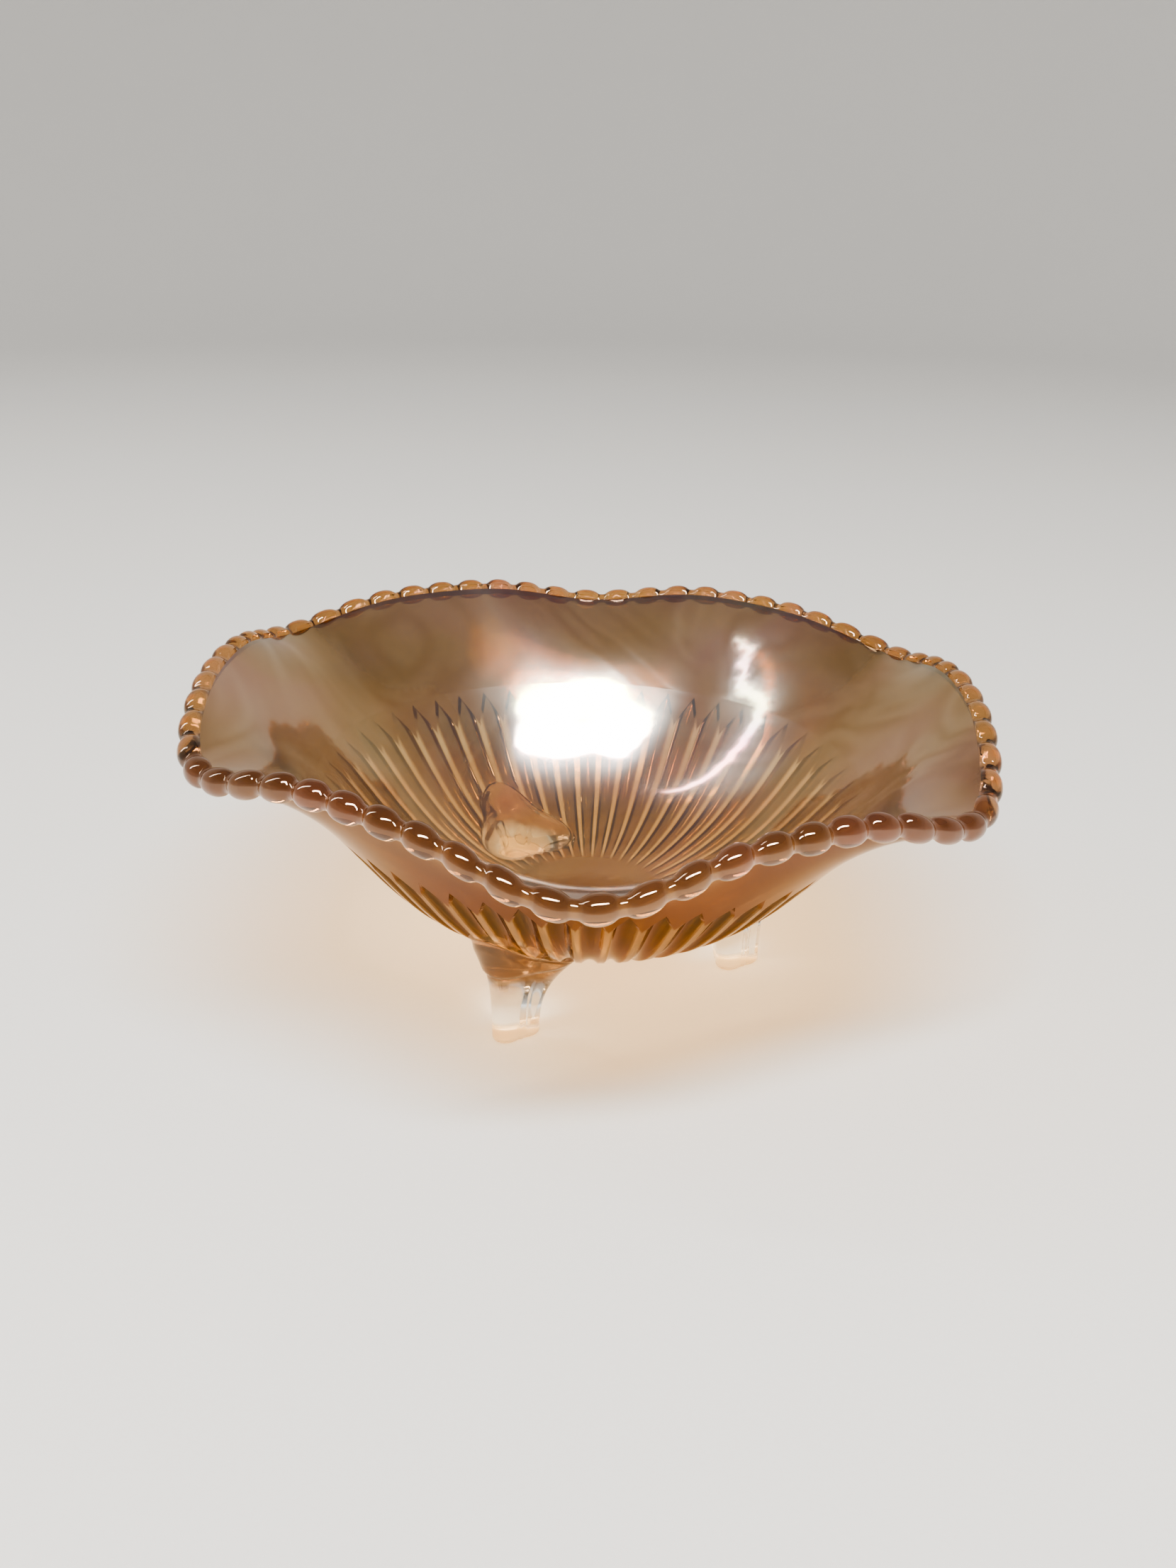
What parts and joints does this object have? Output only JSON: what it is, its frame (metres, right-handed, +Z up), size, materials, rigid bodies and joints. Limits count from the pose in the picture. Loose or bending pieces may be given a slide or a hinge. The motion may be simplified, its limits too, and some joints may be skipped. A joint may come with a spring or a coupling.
{
  "type": "carnival glass bowl",
  "caption": "Footed pressed-glass bowl with an iridescent marigold lustre, fluted underside, ruffled beaded rim and clear toes, for sweets or display.",
  "frame": {"origin": "on the table under the bowl's middle, between the toes", "axes": "+Z up, +X towards the right foot's side, -Y towards the low ruffle at the front"},
  "size_m": [0.1553, 0.1582, 0.0676],
  "materials": {
    "marigold_floor": "smooth pressed glass, marigold iridescent lustre",
    "marigold_flutes": "fluted pressed glass, marigold iridescent lustre",
    "marigold_wall": "smooth fire-polished glass, marigold iridescent lustre",
    "marigold_beads": "fire-polished beads, marigold iridescent lustre",
    "clear_foot": "clear pressed glass, amber lustre fading out below the bowl"
  },
  "bodies": {
    "root": {"floor_disc": "marigold_floor", "fluted_bowl": "marigold_flutes", "ruffled_wall": "marigold_wall", "bead_rim": "marigold_beads", "front_left_foot": "clear_foot", "right_foot": "clear_foot", "back_left_foot": "clear_foot"}
  },
  "joints": []
}
